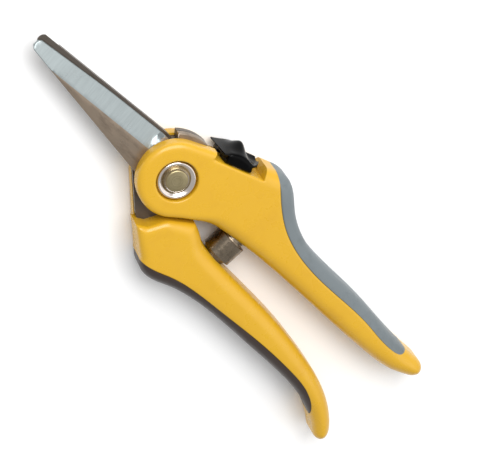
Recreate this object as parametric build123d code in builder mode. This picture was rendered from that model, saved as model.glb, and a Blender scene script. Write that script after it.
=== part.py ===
"""Pruning shears with straight blades, a bypass pivot, a volute spring and a thumb lock.

Frame, in millimetres: the pivot axis is Z, +X runs to the blade tips, +Y to the lower handle,
and z = 0 is the plane the tool lies on. The upper handle carries the front blade, the front
cheek and the lock. The lower handle carries the rear blade and the rear cheek.
"""

import os
from math import acos, atan2, cos, degrees, hypot, radians, sin

from build123d import *

os.makedirs("parts", exist_ok=True)

# Overall sizes
blade_reach = 66.6  # pivot to blade tips
handle_reach = 125.3  # pivot to the end of the upper handle
tool_thickness = 16.0

# Layers, counted down from the front face
front_cheek = 5.0
blade_thickness = 2.5
blade_gap = 0.4

# Head
front_head_radius = 13.5
rear_head_radius = 13.4
heel_radius = 15.2
plate_radius = 12.6
layer_clearance = 0.25
turning_clearance = 0.5

# Pivot
sleeve_radius = 4.0
sleeve_bore = 3.05
bolt_radius = 3.0
bolt_head_radius = 3.95
bolt_head_height = 1.5
running_clearance = 0.05
cup_well_radius = 7.2
cup_well_depth = 2.6
cup_radius = 6.8
cup_thickness = 0.8
cup_rim_height = 2.0
nut_well_radius = 6.8
nut_well_depth = 4.1
nut_flats = 8.0
disc_thickness = 0.4
disc_height = 0.65
washer_thickness = 0.55
washer_radius = 6.3
bush_flange_thickness = 0.6
bush_wall = 1.2
centre_washer_radius = 8.0

# Handles and grips
handle_edge_fillet = 2.0
palm_reach = 46.5  # pivot to where the tail of each handle begins
lower_tail_reach = 118.9  # pivot to the end of the lower handle
tang_reach = 62.0
tang_hole_radius = 1.5

# Lock: its own plan axes are s, rearwards along the recess, and h, outwards from the pivot
lock_angle = 20.4
recess_start = 8.1
recess_end = 27.5
recess_floor = 11.75
slider_gap = 0.3
slider_front = 11.4
slider_rear = 22.4
pad_front = 8.8
pad_rear = 24.9
pad_width = 15.0
pad_level = 14.6
lock_forward = 3.0
lock_rearward = 2.0
tongue_front = 14.8
tongue_width = 3.0
tongue_depth = 7.0
tongue_grip = 1.4
foot_length = 3.0
foot_top = 9.0
leaf_thickness = 0.4
leaf_width = 2.4
leaf_length = 9.0
leaf_groove_depth = 0.85
groove_middle = (slider_front + slider_rear) / 2

# Heel of the lower blade, angles about the pivot
hump_start_angle = -47.0
hump_end_angle = -90.0
tooth_start_angle = -109.0
tooth_end_angle = -119.0

# Bevel of each blade: it starts beside the pivot and falls by its drop for each millimetre across
bevel_start = (13.5, -0.5)
bevel_drop = 0.35
bevel_skew = 0.09
bevel_reach = 12.0
bevel_run = hypot(blade_reach, 6)

# Spring
spring_x = -33.7
spring_radius = 6.2
spring_bore = 2.5
spring_strip = 0.6
spring_turns = 3
spring_middle = 7.6  # axial length of the widest coil
spring_seat_radius = 5.0
spring_seat_depth = 1.5
upper_seat = 0.5  # y of the upper handle's inner face at the spring
lower_seat = 10.4  # y of the lower handle's inner face at the spring
stud_radius = 2.0
stud_root = 1.6
stud_tip = 1.7

# Levels
rear_cheek_top = tool_thickness - front_cheek - 2 * blade_thickness - blade_gap
lower_blade_top = rear_cheek_top + blade_thickness
upper_blade_bottom = lower_blade_top + blade_gap
upper_blade_top = upper_blade_bottom + blade_thickness
mid_level = tool_thickness / 2
nut_well_top = nut_well_depth
cup_well_floor = tool_thickness - cup_well_depth
upper_pocket_bottom = rear_cheek_top - layer_clearance
upper_pocket_top = lower_blade_top + blade_gap / 2


def lock_point(s, h):
    """The plan point at s along and h out from the pivot in the lock's own axes."""
    turn = radians(lock_angle)
    return (-s * cos(turn) + h * sin(turn), -s * sin(turn) - h * cos(turn))


def polar(radius, angle):
    """The plan point at a radius and an angle in degrees about the pivot."""
    return (radius * cos(radians(angle)), radius * sin(radians(angle)))


def upper_tail(share, y):
    """A plan point a share of the way along the upper handle's tail."""
    return (-palm_reach - share * (handle_reach - palm_reach), y)


def lower_tail(share, y):
    """A plan point a share of the way along the lower handle's tail."""
    return (-palm_reach - share * (lower_tail_reach - palm_reach), y)


def blade_point(share, y):
    """A plan point a share of the way from the pivot to the blade tips."""
    return (share * blade_reach, y)


def tangent_angle(point, radius):
    """The angle where a line from point touches a circle about the pivot, clockwise of point."""
    return degrees(atan2(point[1], point[0]) - acos(radius / hypot(*point)))


def spring_plane(y):
    """The plane across the spring's axis at y, facing the upper handle."""
    return Plane((spring_x, y, mid_level), x_dir=(1, 0, 0), z_dir=(0, -1, 0))


def sector(radius, start, end):
    """A pie slice about the pivot, between two angles."""
    with BuildSketch() as slice_sketch:
        with BuildLine():
            rim = CenterArc((0, 0), radius, start, end - start)
            Polyline(rim @ 1, (0, 0), rim @ 0)
        make_face()
    return slice_sketch.sketch


# ---------------------------------------------------------------- plan outlines

upper_line_end = (-20.4, -24.2)
upper_line_angle = degrees(
    atan2(upper_line_end[1], upper_line_end[0]) + acos(front_head_radius / hypot(*upper_line_end))
)
upper_neck_angle = 131.0
palm_outer = [(-24.5, -25.9), (-28.8, -26.8), (-34.0, -25.1), (-40.2, -20.8), (-46.5, -17.6)]
palm_inner = [(-35.0, 0.4), (-27.0, 1.5), (-21.0, 2.9), (-16.4, 5.1), (-12.5, 7.4), (-10.6, 8.8)]
upper_heel_side = [upper_tail(0.10, -15.5), upper_tail(0.24, -14.8), upper_tail(0.50, -15.2)]
upper_nose = [
    upper_tail(0.90, -14.7),
    upper_tail(0.957, -14.8),
    upper_tail(0.988, -13.7),
    upper_tail(1.0, -11.5),
    upper_tail(0.988, -9.4),
]
upper_finger_side = [
    upper_tail(0.952, -7.6),
    upper_tail(0.87, -5.1),
    upper_tail(0.75, -3.6),
    upper_tail(0.37, -2.0),
]

with BuildSketch() as upper_outline:
    with BuildLine():
        head_arc = CenterArc(
            (0, 0), front_head_radius, upper_neck_angle, upper_line_angle - upper_neck_angle
        )
        lock_side = Line(head_arc @ 1, upper_line_end)
        Spline(
            [lock_side @ 1, *palm_outer, *upper_heel_side, *upper_nose]
            + [*upper_finger_side, *palm_inner, head_arc @ 0]
        )
    make_face()

lower_corner = (-12.5, 27.2)
lower_line_angle = tangent_angle(lower_corner, rear_head_radius)
lower_web_angle = 141.0
lower_nose = (-17.6, 6.2)
lower_inner = [(-21.2, 7.4), (-25.5, 9.4), (-31.0, 10.3), (-40.0, 10.6)]
lower_crest = [(-35.7, 26.2), (-28.9, 28.0), (-22.8, 30.2), (-18.2, 30.7), (-14.6, 29.3)]
lower_finger_side = [
    lower_tail(0.14, 10.8),
    lower_tail(0.33, 11.4),
    lower_tail(0.52, 13.0),
    lower_tail(0.69, 15.2),
    lower_tail(0.84, 19.0),
    lower_tail(0.94, 23.4),
]
lower_hook = [
    lower_tail(0.986, 26.6),
    lower_tail(1.0, 29.2),
    lower_tail(0.988, 31.3),
    lower_tail(0.957, 31.9),
]
lower_heel_side = [
    lower_tail(0.91, 30.2),
    lower_tail(0.80, 26.3),
    lower_tail(0.68, 24.3),
    lower_tail(0.52, 23.6),
    lower_tail(0.28, 24.0),
    lower_tail(0.03, 24.6),
]
lower_handle_run = [*lower_finger_side, *lower_hook, *lower_heel_side, *lower_crest]

with BuildSketch() as lower_rear_outline:
    with BuildLine():
        cheek_arc = CenterArc(
            (0, 0), rear_head_radius, lower_line_angle, lower_web_angle - 360 - lower_line_angle
        )
        Polyline(cheek_arc @ 1, (-11.8, 9.8), (-14.5, 8.0), lower_nose)
        Spline([lower_nose, *lower_inner, *lower_handle_run, lower_corner])
        Line(lower_corner, cheek_arc @ 0)
    make_face()

step_top = (-1.9, 20.1)
step_corner = (-5.6, 17.9)
with BuildSketch() as lower_front_outline:
    with BuildLine():
        Spline([lower_nose, *lower_inner, *lower_handle_run, lower_corner])
        Line(lower_corner, step_top)
        Line(step_top, step_corner)
        Spline([step_corner, (-7.5, 14.4), (-9.1, 11.9), (-11.4, 10.2), (-14.6, 8.0), lower_nose])
    make_face()

with BuildSketch() as upper_grip_band:
    with BuildLine():
        border = Spline(
            [(-19.5, -28.0), (-25.6, -24.6), (-32.0, -19.9), (-42.3, -13.9), upper_tail(0.09, -11.0)]
            + [upper_tail(0.24, -10.3), upper_tail(0.58, -11.2), upper_tail(0.78, -10.8)]
            + [upper_tail(0.835, -12.2), upper_tail(0.845, -18.0)]
        )
        Polyline(border @ 1, upper_tail(0.8, -32.0), (-20.0, -34.0), border @ 0)
    make_face()

with BuildSketch() as lower_grip_band:
    with BuildLine():
        border = Spline(
            [(-9.0, 29.0), (-13.3, 28.0), (-18.0, 27.2), (-25.0, 24.9), (-34.0, 22.9)]
            + [lower_tail(0.02, 21.6), lower_tail(0.23, 20.4), lower_tail(0.55, 20.0)]
            + [lower_tail(0.70, 21.4), lower_tail(0.80, 25.0), lower_tail(0.88, 31.5)]
        )
        Polyline(border @ 1, lower_tail(0.8, 38.0), (-12.0, 38.0), border @ 0)
    make_face()

tang_holes = [(-30.0, -10.5), (-50.0, -6.6)]
with BuildSketch() as upper_plate:
    with BuildLine():
        root = (11.3, 8.1)
        heel = (11.3, -7.6)
        Line(root, blade_point(0.985, 2.7))
        tip = Line(blade_point(1.0, 1.8), blade_point(1.0, -0.2))
        Line(blade_point(0.985, 2.7), tip @ 0)
        Line(tip @ 1, blade_point(0.987, -1.1))
        ThreePointArc(blade_point(0.987, -1.1), blade_point(0.54, -5.3), heel)
        Polyline(heel, (0, -8.0), (0, 8.0), root)
    make_face()
    Circle(plate_radius)
    add(sector(heel_radius, hump_start_angle, hump_end_angle))
    with BuildLine():
        Polyline(
            (-8.4, 9.3), (-15.5, 3.4), (-24.0, -2.2), (-tang_reach, -5.0), (-tang_reach, -8.3),
            (-46.0, -9.2), (-34.0, -13.0), (-26.0, -17.6), lock_point(24.0, recess_floor - 0.6),
            lock_point(7.3, recess_floor - 0.6), polar(heel_radius, hump_end_angle), (0, 0),
            close=True,
        )
    make_face()
    with Locations(*tang_holes):
        Circle(tang_hole_radius, mode=Mode.SUBTRACT)

lower_tang_holes = [(-24.0, 18.0), (-50.0, 17.0)]
with BuildSketch() as lower_plate:
    with BuildLine():
        root = (12.0, -8.3)
        Line(root, blade_point(0.988, -3.1))
        tip = ThreePointArc(
            blade_point(0.988, -3.1), blade_point(1.003, -1.6), blade_point(0.99, 0.6)
        )
        ThreePointArc(tip @ 1, blade_point(0.54, 4.4), (12.0, 6.8))
        Polyline((12.0, 6.8), (0, 8.0), (0, -8.0), root)
    make_face()
    Circle(plate_radius)
    add(sector(heel_radius, hump_start_angle, hump_end_angle))
    add(sector(heel_radius, tooth_start_angle, tooth_end_angle))
    with BuildLine():
        Polyline(
            (11.8, 7.6), (-2.0, 18.5), (-10.0, 22.6), (-18.0, 22.6), (-30.0, 20.2),
            (-tang_reach, 18.4), (-tang_reach, 15.2), (-29.0, 15.2), (-22.0, 11.8),
            (-16.5, 9.6), (-8.0, 9.0), (0, 0), close=True,
        )
    make_face()
    with Locations(*lower_tang_holes):
        Circle(tang_hole_radius, mode=Mode.SUBTRACT)

recess_corners = [
    lock_point(recess_start, recess_floor),
    lock_point(recess_end, recess_floor),
    lock_point(recess_end, 2 * recess_floor),
    lock_point(recess_start, 2 * recess_floor),
]

# ---------------------------------------------------------------- upper handle and grip

with BuildPart() as upper_blank:
    with BuildSketch():
        add(upper_outline.sketch)
    extrude(amount=tool_thickness)
    fillet(upper_blank.edges().group_by(Axis.Z)[-1], handle_edge_fillet)
    fillet(upper_blank.edges().group_by(Axis.Z)[0], handle_edge_fillet)

with BuildPart() as upper_grip:
    add(upper_blank.part)
    with BuildSketch():
        add(upper_grip_band.sketch)
    extrude(amount=tool_thickness, mode=Mode.INTERSECT)
upper_grip.part.label = "upper_grip"
export_step(upper_grip.part, "parts/upper_grip.step")

with BuildPart() as upper_handle:
    add(upper_blank.part)
    with BuildSketch():
        add(upper_grip_band.sketch)
    extrude(amount=tool_thickness, mode=Mode.SUBTRACT)
    # nothing of the handle lies behind the blades forward of the lock's recess
    with BuildSketch():
        Circle(rear_head_radius + turning_clearance)
        with BuildLine():
            Polyline(
                (0, 0), lock_point(recess_start, recess_floor - 0.3),
                lock_point(recess_start, 2 * recess_floor), (30, -30), (30, 30), (-8.4, 11.5),
                (-13.0, 9.6), (-12.4, 6.2), close=True,
            )
        make_face()
    extrude(amount=upper_blade_top, mode=Mode.SUBTRACT)
    # room for the lower blade's heel to turn
    with BuildSketch(Plane.XY.offset(upper_pocket_bottom)):
        Circle(heel_radius + turning_clearance)
    extrude(amount=upper_pocket_top - upper_pocket_bottom, mode=Mode.SUBTRACT)
    # pocket that holds the front blade's tang
    with BuildSketch(Plane.XY.offset(upper_blade_bottom)):
        add(upper_plate.sketch)
    extrude(amount=blade_thickness, mode=Mode.SUBTRACT)
    # recess for the lock's slide, and the slot for its tongue
    with BuildSketch():
        with BuildLine():
            Polyline(*recess_corners, close=True)
        make_face()
    extrude(amount=tool_thickness, mode=Mode.SUBTRACT)
    with BuildSketch(Plane.XY.offset(upper_pocket_bottom)):
        with BuildLine():
            slot_front = tongue_front - lock_forward - slider_gap
            slot_rear = tongue_front + tongue_width + lock_rearward + slider_gap
            Polyline(
                lock_point(slot_front, recess_floor + 1), lock_point(slot_rear, recess_floor + 1),
                lock_point(slot_rear, foot_top + slider_gap),
                lock_point(slot_rear + foot_length, foot_top + slider_gap),
                lock_point(slot_rear + foot_length, tongue_depth - slider_gap),
                lock_point(slot_front, tongue_depth - slider_gap), close=True,
            )
        make_face()
    extrude(amount=upper_pocket_top - upper_pocket_bottom, mode=Mode.SUBTRACT)
    # groove for the detent leaf in the recess floor
    with BuildSketch(Plane.XY.offset(upper_blade_top + 0.8)):
        with BuildLine():
            Polyline(
                lock_point(groove_middle - leaf_length / 2, recess_floor + 1),
                lock_point(groove_middle + leaf_length / 2, recess_floor + 1),
                lock_point(groove_middle + leaf_length / 2, recess_floor - leaf_groove_depth),
                lock_point(groove_middle - leaf_length / 2, recess_floor - leaf_groove_depth),
                close=True,
            )
        make_face()
    extrude(amount=leaf_width, mode=Mode.SUBTRACT)
    # pivot bore and the counterbore for the dished washer
    with Locations((0, 0, tool_thickness)):
        CounterBoreHole(sleeve_radius, cup_well_radius, cup_well_depth)
    # seat and bore for the spring and its stud
    with BuildSketch(spring_plane(upper_seat + 3)):
        Circle(spring_seat_radius)
    extrude(amount=3 + spring_seat_depth, mode=Mode.SUBTRACT)
    with BuildSketch(spring_plane(upper_seat)):
        Circle(stud_radius)
    extrude(amount=spring_seat_depth + stud_root, mode=Mode.SUBTRACT)
upper_handle.part.label = "upper_handle"
export_step(upper_handle.part, "parts/upper_handle.step")

# ---------------------------------------------------------------- lower handle and grip

with BuildPart() as lower_blank:
    with BuildSketch():
        add(lower_rear_outline.sketch)
    extrude(amount=rear_cheek_top)
    with BuildSketch(Plane.XY.offset(rear_cheek_top)):
        add(lower_front_outline.sketch)
    extrude(amount=tool_thickness - rear_cheek_top)
    fillet(lower_blank.edges().group_by(Axis.Z)[-1], handle_edge_fillet)
    fillet(lower_blank.edges().group_by(Axis.Z)[0], handle_edge_fillet)

with BuildPart() as lower_grip:
    add(lower_blank.part)
    with BuildSketch():
        add(lower_grip_band.sketch)
    extrude(amount=tool_thickness, mode=Mode.INTERSECT)
lower_grip.part.label = "lower_grip"
export_step(lower_grip.part, "parts/lower_grip.step")

with BuildPart() as lower_handle:
    add(lower_blank.part)
    with BuildSketch():
        add(lower_grip_band.sketch)
    extrude(amount=tool_thickness, mode=Mode.SUBTRACT)
    # pocket that holds the rear blade's tang
    with BuildSketch(Plane.XY.offset(rear_cheek_top)):
        add(lower_plate.sketch)
    extrude(amount=blade_thickness, mode=Mode.SUBTRACT)
    # bore for the bush, and the counterbore for its flange and the nut
    with BuildSketch():
        Circle(sleeve_radius + running_clearance + bush_wall)
    extrude(amount=rear_cheek_top, mode=Mode.SUBTRACT)
    with BuildSketch():
        Circle(nut_well_radius)
    extrude(amount=nut_well_top, mode=Mode.SUBTRACT)
    with BuildSketch(spring_plane(lower_seat + spring_seat_depth)):
        Circle(spring_seat_radius)
    extrude(amount=3 + spring_seat_depth, mode=Mode.SUBTRACT)
    with BuildSketch(spring_plane(lower_seat + spring_seat_depth + stud_root)):
        Circle(stud_radius)
    extrude(amount=spring_seat_depth + stud_root, mode=Mode.SUBTRACT)
lower_handle.part.label = "lower_handle"
export_step(lower_handle.part, "parts/lower_handle.step")

# ---------------------------------------------------------------- blades

with BuildPart() as upper_blade:
    with BuildSketch(Plane.XY.offset(upper_blade_bottom)):
        add(upper_plate.sketch)
    extrude(amount=blade_thickness)
    # ground bevel along the cutting edge
    bevel_plane = Plane(
        origin=(*bevel_start, upper_blade_top),
        x_dir=(bevel_skew, -1, 0),
        z_dir=(1, bevel_skew, 0),
    )
    with BuildSketch(bevel_plane):
        with BuildLine():
            Polyline(
                (0, 0), (bevel_reach, -bevel_reach * bevel_drop), (bevel_reach, 2), (0, 2),
                close=True,
            )
        make_face()
    extrude(amount=bevel_run, mode=Mode.SUBTRACT)
    with BuildSketch(Plane.XY.offset(upper_blade_bottom)):
        Circle(sleeve_radius)
    extrude(amount=blade_thickness, mode=Mode.SUBTRACT)
upper_blade.part.label = "upper_blade"
export_step(upper_blade.part, "parts/upper_blade.step")

with BuildPart() as lower_blade:
    with BuildSketch(Plane.XY.offset(rear_cheek_top)):
        add(lower_plate.sketch)
    extrude(amount=blade_thickness)
    bevel_plane = Plane(
        origin=(bevel_start[0], -bevel_start[1], rear_cheek_top),
        x_dir=(bevel_skew, 1, 0),
        z_dir=(1, -bevel_skew, 0),
    )
    with BuildSketch(bevel_plane):
        with BuildLine():
            Polyline(
                (0, 0), (bevel_reach, -bevel_reach * bevel_drop), (bevel_reach, 2), (0, 2),
                close=True,
            )
        make_face()
    extrude(amount=bevel_run, mode=Mode.SUBTRACT)
    with BuildSketch(Plane.XY.offset(rear_cheek_top)):
        Circle(sleeve_radius + running_clearance)
    extrude(amount=blade_thickness, mode=Mode.SUBTRACT)
lower_blade.part.label = "lower_blade"
export_step(lower_blade.part, "parts/lower_blade.step")

# ---------------------------------------------------------------- pivot

cup_floor_top = cup_well_floor + cup_thickness
washer_bottom = nut_well_top - bush_flange_thickness - running_clearance - washer_thickness

with BuildPart() as pivot_cup:
    with BuildSketch(Plane.XZ):
        with BuildLine():
            Polyline(
                (sleeve_bore, cup_well_floor), (cup_radius, cup_well_floor),
                (cup_radius, cup_well_floor + cup_rim_height),
                (cup_radius - cup_thickness, cup_well_floor + cup_rim_height),
                (bolt_head_radius + 0.4, cup_floor_top), (sleeve_bore, cup_floor_top), close=True,
            )
        make_face()
    revolve(axis=Axis.Z)
pivot_cup.part.label = "pivot_cup"
export_step(pivot_cup.part, "parts/pivot_cup.step")

with BuildPart() as pivot_bolt:
    Cylinder(bolt_radius, cup_floor_top, align=(Align.CENTER, Align.CENTER, Align.MIN))
    with Locations((0, 0, cup_floor_top)):
        Cylinder(
            bolt_head_radius, bolt_head_height, align=(Align.CENTER, Align.CENTER, Align.MIN)
        )
    fillet(pivot_bolt.edges().group_by(Axis.Z)[-1], 0.4)
pivot_bolt.part.label = "pivot_bolt"
export_step(pivot_bolt.part, "parts/pivot_bolt.step")

with BuildPart() as pivot_sleeve:
    with BuildSketch(Plane.XY.offset(washer_bottom + washer_thickness)):
        Circle(sleeve_radius)
        Circle(sleeve_bore, mode=Mode.SUBTRACT)
    extrude(amount=cup_well_floor - washer_bottom - washer_thickness)
pivot_sleeve.part.label = "pivot_sleeve"
export_step(pivot_sleeve.part, "parts/pivot_sleeve.step")

with BuildPart() as cheek_bush:
    with BuildSketch(Plane.XY.offset(nut_well_top - bush_flange_thickness)):
        Circle(washer_radius)
    extrude(amount=bush_flange_thickness)
    with BuildSketch(Plane.XY.offset(nut_well_top)):
        Circle(sleeve_radius + running_clearance + bush_wall)
    extrude(amount=rear_cheek_top - nut_well_top)
    Hole(sleeve_radius + running_clearance)
cheek_bush.part.label = "cheek_bush"
export_step(cheek_bush.part, "parts/cheek_bush.step")

with BuildPart() as centre_washer:
    with BuildSketch(Plane.XY.offset(lower_blade_top + running_clearance)):
        Circle(centre_washer_radius)
        Circle(sleeve_radius, mode=Mode.SUBTRACT)
    extrude(amount=blade_gap - running_clearance)
centre_washer.part.label = "centre_washer"
export_step(centre_washer.part, "parts/centre_washer.step")

with BuildPart() as nut_washer:
    with BuildSketch(Plane.XY.offset(washer_bottom)):
        Circle(washer_radius)
        Circle(bolt_radius, mode=Mode.SUBTRACT)
    extrude(amount=washer_thickness)
nut_washer.part.label = "nut_washer"
export_step(nut_washer.part, "parts/nut_washer.step")

disc_bottom = washer_bottom - disc_height
with BuildPart() as disc_spring:
    with BuildSketch(Plane.XZ):
        with BuildLine():
            Polyline(
                (bolt_radius, disc_bottom), (washer_radius - 0.6, washer_bottom - disc_thickness),
                (washer_radius - 0.6, washer_bottom), (bolt_radius, disc_bottom + disc_thickness),
                close=True,
            )
        make_face()
    revolve(axis=Axis.Z)
disc_spring.part.label = "disc_spring"
export_step(disc_spring.part, "parts/disc_spring.step")

with BuildPart() as pivot_nut:
    with BuildSketch():
        RegularPolygon(nut_flats / 2, 6, major_radius=False)
        Circle(bolt_radius, mode=Mode.SUBTRACT)
    extrude(amount=disc_bottom)
pivot_nut.part.label = "pivot_nut"
export_step(pivot_nut.part, "parts/pivot_nut.step")

# ---------------------------------------------------------------- lock

slider_bottom = recess_floor + slider_gap
with BuildPart() as lock_slider:
    with BuildSketch(Plane.XY.offset(mid_level - pad_width / 2)):
        with BuildLine():
            crest = Spline(
                lock_point(pad_front, 15.3), lock_point(12.6, 16.3), lock_point(16.6, 17.7),
                lock_point(20.4, 16.1), lock_point(23.0, 15.1), lock_point(pad_rear, 15.5),
            )
            Polyline(
                crest @ 1, lock_point(pad_rear, 14.4), lock_point(slider_rear, 13.8),
                lock_point(slider_rear, slider_bottom), lock_point(slider_front, slider_bottom),
                lock_point(slider_front, pad_level), lock_point(pad_front, pad_level), crest @ 0,
            )
        make_face()
    extrude(amount=pad_width)
    # the heel's path, with the slide pushed fully forward
    with BuildSketch(Plane.XY.offset(upper_pocket_bottom)):
        with Locations(lock_point(lock_forward, 0)):
            Circle(heel_radius + turning_clearance)
    extrude(amount=upper_pocket_top - upper_pocket_bottom, mode=Mode.SUBTRACT)
    # slot that holds the tongue
    with BuildSketch(Plane.XY.offset(rear_cheek_top + 0.15)):
        with BuildLine():
            Polyline(
                lock_point(tongue_front, slider_bottom - 1),
                lock_point(tongue_front + tongue_width, slider_bottom - 1),
                lock_point(tongue_front + tongue_width, slider_bottom + tongue_grip),
                lock_point(tongue_front, slider_bottom + tongue_grip), close=True,
            )
        make_face()
    extrude(amount=blade_thickness - 0.3, mode=Mode.SUBTRACT)
lock_slider.part.label = "lock_slider"
export_step(lock_slider.part, "parts/lock_slider.step")

with BuildPart() as lock_tongue:
    with BuildSketch(Plane.XY.offset(rear_cheek_top + 0.15)):
        with BuildLine():
            Polyline(
                lock_point(tongue_front, tongue_depth),
                lock_point(tongue_front + tongue_width + foot_length, tongue_depth),
                lock_point(tongue_front + tongue_width + foot_length, foot_top),
                lock_point(tongue_front + tongue_width, foot_top),
                lock_point(tongue_front + tongue_width, slider_bottom + tongue_grip),
                lock_point(tongue_front, slider_bottom + tongue_grip), close=True,
            )
        make_face()
    extrude(amount=blade_thickness - 0.3)
lock_tongue.part.label = "lock_tongue"
export_step(lock_tongue.part, "parts/lock_tongue.step")

leaf_bottom = recess_floor - leaf_groove_depth
leaf_crown = slider_bottom - 0.1
with BuildPart() as lock_detent_spring:
    with BuildSketch(Plane.XY.offset(upper_blade_top + 0.8)):
        with BuildLine():
            under = ThreePointArc(
                lock_point(groove_middle - leaf_length / 2, leaf_bottom),
                lock_point(groove_middle, leaf_crown - leaf_thickness),
                lock_point(groove_middle + leaf_length / 2, leaf_bottom),
            )
            over = ThreePointArc(
                lock_point(groove_middle + leaf_length / 2, leaf_bottom + leaf_thickness),
                lock_point(groove_middle, leaf_crown),
                lock_point(groove_middle - leaf_length / 2, leaf_bottom + leaf_thickness),
            )
            Line(under @ 1, over @ 0)
            Line(over @ 1, under @ 0)
        make_face()
    extrude(amount=leaf_width)
lock_detent_spring.part.label = "lock_detent_spring"
export_step(lock_detent_spring.part, "parts/lock_detent_spring.step")

# ---------------------------------------------------------------- spring and its studs

spring_start = upper_seat - spring_seat_depth
spring_end = lower_seat + spring_seat_depth - 0.1
spring_centre = (spring_start + spring_end) / 2
spring_pitch = (spring_radius - spring_bore - spring_strip) / spring_turns


def spiral(start_radius):
    """Points of an Archimedean spiral that gains one pitch a turn, eight to the turn."""
    steps = 8 * spring_turns
    return [polar(start_radius + spring_pitch * n / 8, 45 * n) for n in range(steps + 1)]


with BuildPart() as volute_spring:
    with BuildSketch(spring_plane(spring_end)):
        with BuildLine():
            inner_wall = Spline(spiral(spring_bore))
            outer_wall = Spline(spiral(spring_bore + spring_strip))
            Line(inner_wall @ 0, outer_wall @ 0)
            Line(inner_wall @ 1, outer_wall @ 1)
        make_face()
    extrude(amount=spring_end - spring_start)
    # each turn outwards is shorter, so that the turns nest like a double cone
    with BuildSketch(Plane((spring_x, spring_centre, mid_level))):
        with BuildLine():
            half_run = (spring_end - spring_start) / 2
            half_middle = spring_middle / 2
            Polyline(
                (0, -half_run), (spring_bore + spring_pitch, -half_run),
                (spring_radius - spring_pitch, -half_middle), (spring_radius + 1, -half_middle),
                (spring_radius + 1, half_middle), (spring_radius - spring_pitch, half_middle),
                (spring_bore + spring_pitch, half_run), (0, half_run), close=True,
            )
        make_face()
    revolve(axis=Axis((spring_x, 0, mid_level), (0, 1, 0)), mode=Mode.INTERSECT)
volute_spring.part.label = "volute_spring"
export_step(volute_spring.part, "parts/volute_spring.step")

with BuildPart() as upper_spring_stud:
    stud_end = upper_seat + stud_tip
    with BuildSketch(spring_plane(stud_end)):
        Circle(stud_radius)
    extrude(amount=stud_end - upper_seat + spring_seat_depth + stud_root)
upper_spring_stud.part.label = "upper_spring_stud"
export_step(upper_spring_stud.part, "parts/upper_spring_stud.step")

with BuildPart() as lower_spring_stud:
    stud_base = lower_seat + spring_seat_depth + stud_root
    with BuildSketch(spring_plane(stud_base)):
        Circle(stud_radius)
    extrude(amount=stud_base - lower_seat + stud_tip)
lower_spring_stud.part.label = "lower_spring_stud"
export_step(lower_spring_stud.part, "parts/lower_spring_stud.step")
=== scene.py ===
"""Pruning shears with moulded handles, soft grips, a volute spring and a thumb lock.

Sizes are in millimetres, in the frame's own axes: +X runs from the pivot to the blade tips,
+Y to the lower handle, +Z out of the front face, and z = 0 is the plane the tool lies on.
"""

import logging
import math
from collections.abc import Callable, Sequence
from dataclasses import dataclass
from enum import Enum
from functools import partial

import bpy
import numpy as np
from mathutils import Matrix, Vector
from mathutils.geometry import delaunay_2d_cdt


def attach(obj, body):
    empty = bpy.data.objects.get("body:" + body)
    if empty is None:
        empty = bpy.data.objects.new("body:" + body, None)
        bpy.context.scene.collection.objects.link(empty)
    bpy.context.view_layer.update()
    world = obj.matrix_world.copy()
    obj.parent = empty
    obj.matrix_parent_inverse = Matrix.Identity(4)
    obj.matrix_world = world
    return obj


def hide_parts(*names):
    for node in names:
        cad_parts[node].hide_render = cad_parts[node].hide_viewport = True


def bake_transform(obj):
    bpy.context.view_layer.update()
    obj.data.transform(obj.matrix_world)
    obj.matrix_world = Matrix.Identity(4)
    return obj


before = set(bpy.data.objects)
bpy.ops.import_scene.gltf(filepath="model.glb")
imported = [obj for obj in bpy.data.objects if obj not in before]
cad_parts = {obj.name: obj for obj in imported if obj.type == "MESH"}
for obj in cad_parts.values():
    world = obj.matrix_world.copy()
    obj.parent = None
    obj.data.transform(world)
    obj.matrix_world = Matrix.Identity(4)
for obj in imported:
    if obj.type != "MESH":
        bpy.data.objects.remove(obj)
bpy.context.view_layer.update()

MM = 0.001
# corners turned by more than this stay crisp
SHARP_ANGLE = math.radians(38.0)
log = logging.getLogger("shears")

# two plan coordinates, or two sizes that belong together
Pair = tuple[float, float]
# gives a number, or a yes or no, for each plan point
PlanRule = Callable[[np.ndarray], np.ndarray]


class Body(Enum):
    """The moving bodies of the tool."""

    UPPER = "upper"
    LOWER = "lower"
    LOCK = "lock"


# ---------------------------------------------------------------- plan curves


def spline(points: Sequence[Pair], step: float = 0.5) -> np.ndarray:
    """A natural cubic spline through points, one cubic per span with equal curvature where spans meet.

    Args:
        points: the plan points that the curve passes through.
        step: spacing of the samples along the curve.

    Returns:
        The sampled curve, one row a point.
    """
    knots = np.asarray(points, float)
    spans = np.linalg.norm(np.diff(knots, axis=0), axis=1)
    at = np.concatenate([[0.0], np.cumsum(spans)])
    count = len(knots)
    system = np.eye(count)
    right = np.zeros((count, 2))
    inner = np.arange(1, count - 1)
    system[inner, inner - 1] = spans[:-1]
    system[inner, inner] = 2 * (spans[:-1] + spans[1:])
    system[inner, inner + 1] = spans[1:]
    slopes = np.diff(knots, axis=0) / spans[:, None]
    right[inner] = 6 * np.diff(slopes, axis=0)
    bend = np.linalg.solve(system, right)
    t = np.linspace(0, at[-1], max(int(at[-1] / step), 2) + 1)
    k = np.clip(np.searchsorted(at, t, side="right") - 1, 0, count - 2)
    h = spans[k][:, None]
    after = (t - at[k])[:, None]
    before = h - after
    return (
        (bend[k] * before**3 + bend[k + 1] * after**3) / (6 * h)
        + (knots[k] / h - bend[k] * h / 6) * before
        + (knots[k + 1] / h - bend[k + 1] * h / 6) * after
    )


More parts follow.
